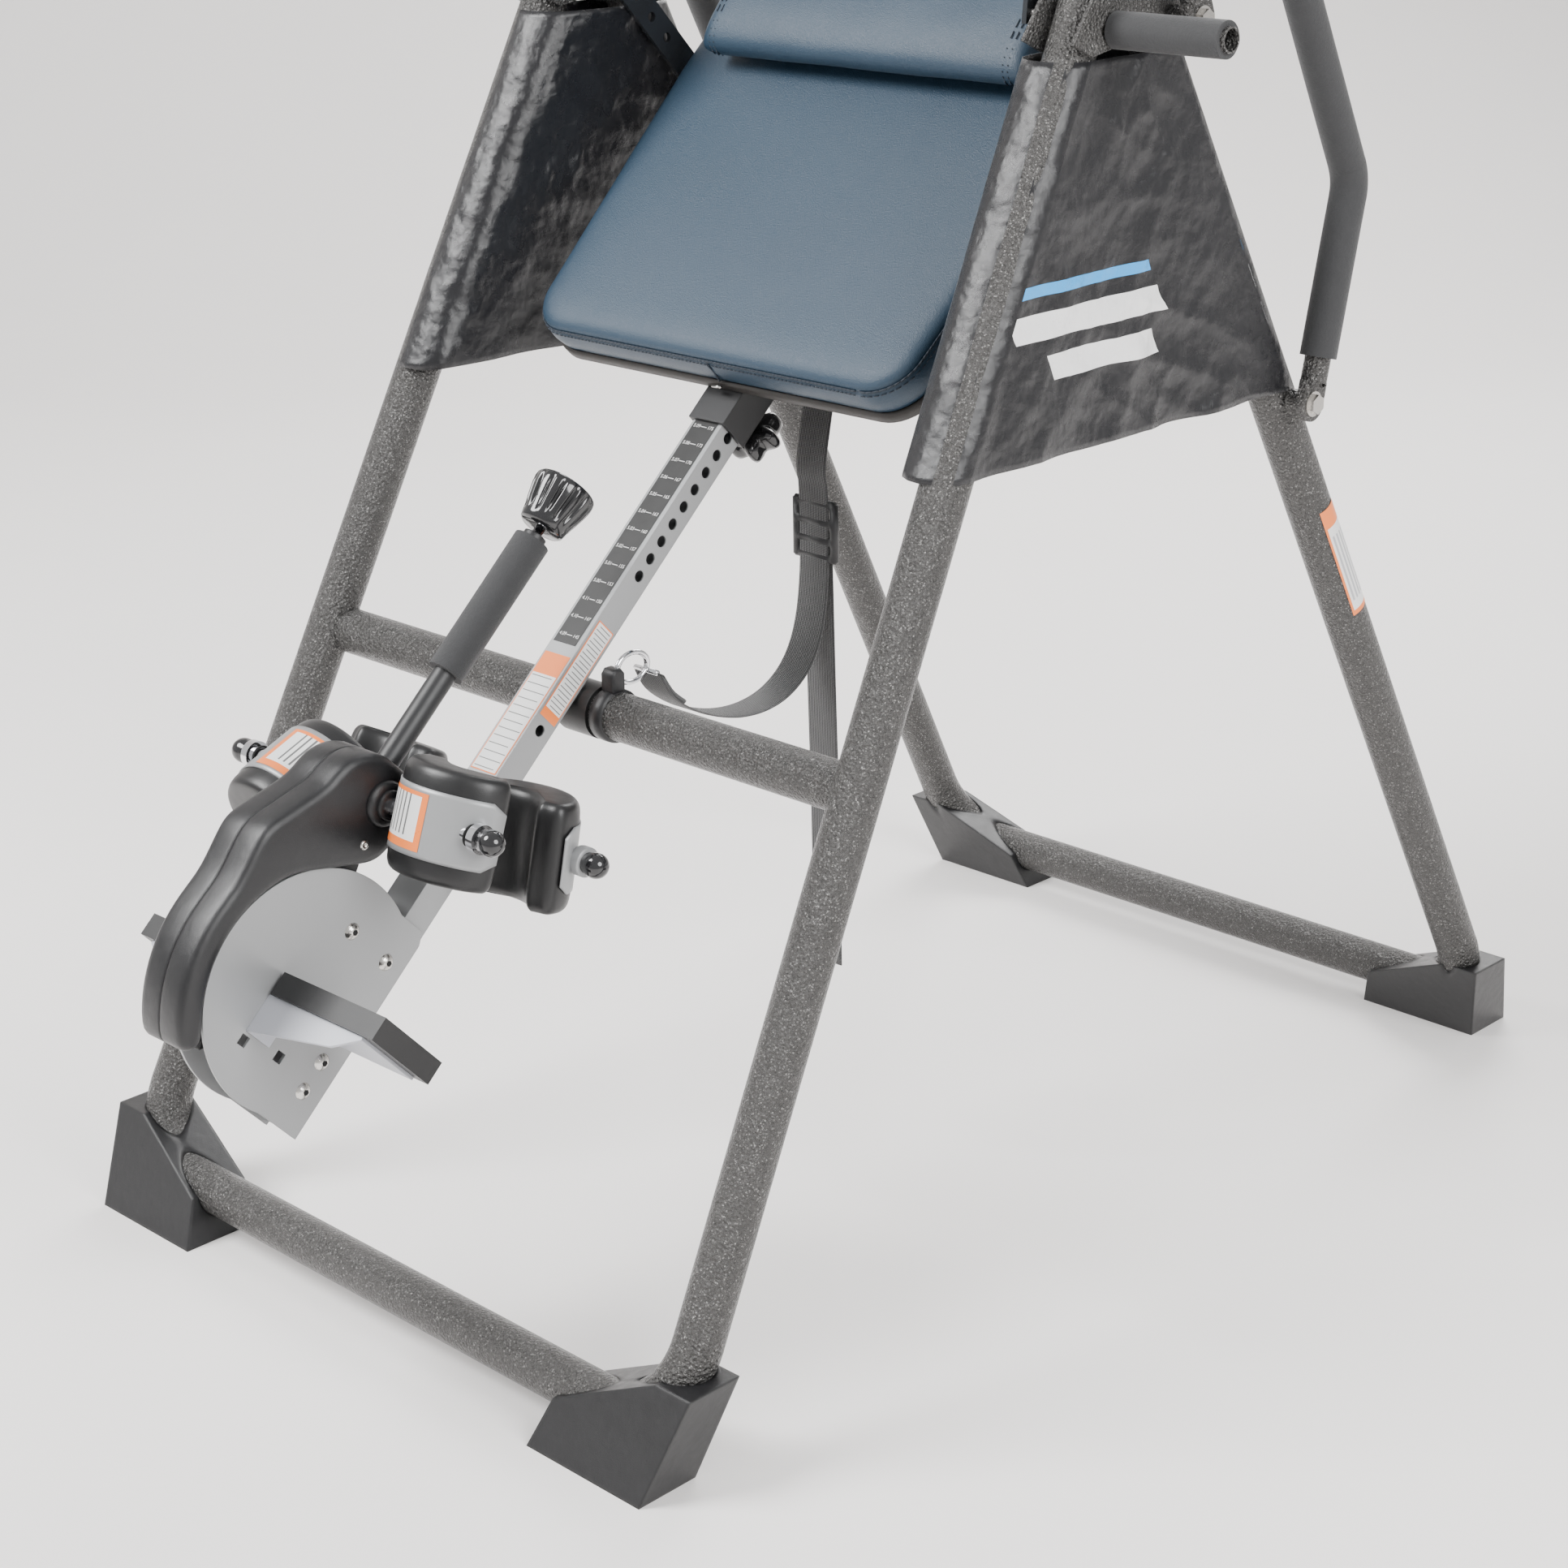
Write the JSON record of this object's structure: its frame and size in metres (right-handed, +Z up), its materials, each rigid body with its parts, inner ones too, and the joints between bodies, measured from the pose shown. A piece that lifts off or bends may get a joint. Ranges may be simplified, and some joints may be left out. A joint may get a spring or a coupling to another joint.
{
  "type": "inversion table",
  "caption": "Folding A-frame inversion table with a padded tilting bed, ratchet ankle clamp, foam handlebars and side covers.",
  "frame": {"origin": "centre of the footprint on the floor", "axes": "+Z up, +X across the bed to the user's left, -Y towards the ankle clamp"},
  "size_m": [0.974, 1.4982, 1.5458],
  "materials": {
    "frame_paint": "dark grey hammered powder coat",
    "black_plastic": "fine grained moulding",
    "black_rubber": "satin moulded rubber",
    "grip_foam": "matt closed cell foam",
    "chrome": "bright plated",
    "fasteners": "zinc plated",
    "latch_steel": "dark grey paint with a black ball knob",
    "cover_nylon": "shiny coated nylon",
    "black_paint": "satin black powder coat",
    "board": "black painted board",
    "vinyl": "dark blue stitched vinyl",
    "gloss_plastic": "gloss moulding",
    "webbing": "ribbed woven webbing",
    "silver_paint": "satin silver grey",
    "bare_steel": "oiled"
  },
  "bodies": {
    "front_frame": {"front_leg_right": "frame_paint", "front_leg_left": "frame_paint", "front_floor_tube": "frame_paint", "front_crossbar": "frame_paint", "front_foot_right": "black_plastic", "front_foot_left": "black_plastic", "apex_bracket_right": "frame_paint", "apex_bracket_left": "frame_paint", "bumper": "black_rubber", "tether_ring": "chrome", "side_grips": "grip_foam", "side_cover_right": "cover_nylon", "side_cover_left": "cover_nylon", "hinge_bolts": "fasteners", "tether_strap": "webbing", "strap_buckle": "black_plastic"},
    "latch_right": {"pivot_latch_right": "latch_steel"},
    "latch_left": {"pivot_latch_left": "latch_steel"},
    "front_links": {"fold_links_front": "frame_paint"},
    "rear_frame": {"rear_leg_right": "frame_paint", "rear_leg_left": "frame_paint", "rear_floor_tube": "frame_paint", "rear_foot_right": "black_plastic", "rear_foot_left": "black_plastic", "handlebar_right": "frame_paint", "handlebar_left": "frame_paint", "handlebar_foam_right": "grip_foam", "handlebar_foam_left": "grip_foam", "handlebar_bolts": "fasteners"},
    "rear_links": {"fold_links_rear": "frame_paint"},
    "bed": {"bed_frame": "black_paint", "bed_board": "board", "bed_pad": "vinyl", "lumbar_pillow": "vinyl", "pivot_arm_right": "chrome", "pivot_arm_left": "chrome", "adjustment_sleeve": "black_paint", "strap_loop": "chrome"},
    "pull_pin": {"pull_pin": "chrome"},
    "clamp_knob": {"clamp_knob": "gloss_plastic"},
    "ankle_slide": {"adjustment_tube": "silver_paint", "ankle_plate_right": "silver_paint", "ankle_plate_left": "silver_paint", "ratchet_rack": "bare_steel", "footrest_bracket_right": "silver_paint", "footrest_bracket_left": "silver_paint", "footrest_pad_right": "black_rubber", "footrest_pad_left": "black_rubber", "rear_rod": "chrome", "ankle_bolts": "fasteners"},
    "rear_cushion_right": {"rear_cushion_right": "black_rubber"},
    "rear_cushion_left": {"rear_cushion_left": "black_rubber"},
    "clamp_arm": {"housing_right": "black_plastic", "housing_left": "black_plastic", "lever_tube": "black_paint", "lever_foam": "grip_foam", "front_rod": "chrome"},
    "front_cushion_right": {"front_cushion_right": "black_rubber"},
    "front_cushion_left": {"front_cushion_left": "black_rubber"},
    "palm_knob": {"palm_knob": "gloss_plastic"}
  },
  "joints": [
    {"name": "bed_tilt", "type": "hinge", "parent": "front_frame", "child": "bed", "pos_m": [0, 0.05915, 1.165], "axis": [-1, 0, 0], "range_deg": [0, 132], "deforming": ["tether_strap"]},
    {"name": "frame_fold", "type": "hinge", "parent": "front_frame", "child": "rear_frame", "pos_m": [0, 0.10315, 1.18], "axis": [-1, 0, 0], "range_deg": [0, 44], "deforming": ["side_cover_right", "side_cover_left"]},
    {"name": "front_link_swing", "type": "hinge", "parent": "front_frame", "child": "front_links", "pos_m": [0, -0.08047, 0.93], "axis": [1, 0, 0], "range_deg": [0, 60]},
    {"name": "rear_link_swing", "type": "hinge", "parent": "rear_frame", "child": "rear_links", "pos_m": [0, 0.23408, 0.93], "axis": [-1, 0, 0], "range_deg": [0, 38]},
    {"name": "latch_right_swing", "type": "hinge", "parent": "front_frame", "child": "latch_right", "pos_m": [0.29, 0.02515, 1.157], "axis": [1, 0, 0], "range_deg": [0, 60], "stiffness_Nm_per_rad": 0.2, "springref_deg": -17.19},
    {"name": "latch_left_swing", "type": "hinge", "parent": "front_frame", "child": "latch_left", "pos_m": [-0.29, 0.02515, 1.157], "axis": [1, 0, 0], "range_deg": [0, 60], "stiffness_Nm_per_rad": 0.2, "springref_deg": -17.19},
    {"name": "ankle_slide_travel", "type": "slide", "parent": "bed", "child": "ankle_slide", "axis": [0, 0.7373, 0.6756], "range_m": [-0.18, 0.06]},
    {"name": "pull_pin_travel", "type": "slide", "parent": "bed", "child": "pull_pin", "axis": [1, 0, 0], "range_m": [0, 0.012], "stiffness_N_per_m": 800, "springref_m": -0.01},
    {"name": "clamp_knob_turn", "type": "hinge", "parent": "bed", "child": "clamp_knob", "pos_m": [0, -0.03361, 0.75408], "axis": [0, -0.6756, 0.7373], "range_deg": [0, 180]},
    {"name": "clamp_arm_swing", "type": "hinge", "parent": "ankle_slide", "child": "clamp_arm", "pos_m": [0, -0.60823, 0.36724], "axis": [1, 0, 0], "range_deg": [-4, 34]},
    {"name": "palm_knob_press", "type": "slide", "parent": "clamp_arm", "child": "palm_knob", "axis": [0, -0.7373, -0.6756], "range_m": [0, 0.008], "stiffness_N_per_m": 1500, "springref_m": -0.006},
    {"name": "front_cushion_right_turn", "type": "hinge", "parent": "clamp_arm", "child": "front_cushion_right", "pos_m": [0.096, -0.52085, 0.52055], "axis": [1, 0, 0], "continuous": true},
    {"name": "rear_cushion_right_turn", "type": "hinge", "parent": "ankle_slide", "child": "rear_cushion_right", "pos_m": [0.096, -0.40641, 0.46672], "axis": [1, 0, 0], "continuous": true},
    {"name": "front_cushion_left_turn", "type": "hinge", "parent": "clamp_arm", "child": "front_cushion_left", "pos_m": [-0.096, -0.52085, 0.52055], "axis": [1, 0, 0], "continuous": true},
    {"name": "rear_cushion_left_turn", "type": "hinge", "parent": "ankle_slide", "child": "rear_cushion_left", "pos_m": [-0.096, -0.40641, 0.46672], "axis": [1, 0, 0], "continuous": true}
  ],
  "couplings": [
    {"joint": "front_link_swing", "follows": "frame_fold", "ratio": 1.34},
    {"joint": "rear_link_swing", "follows": "frame_fold", "ratio": 0.855}
  ]
}
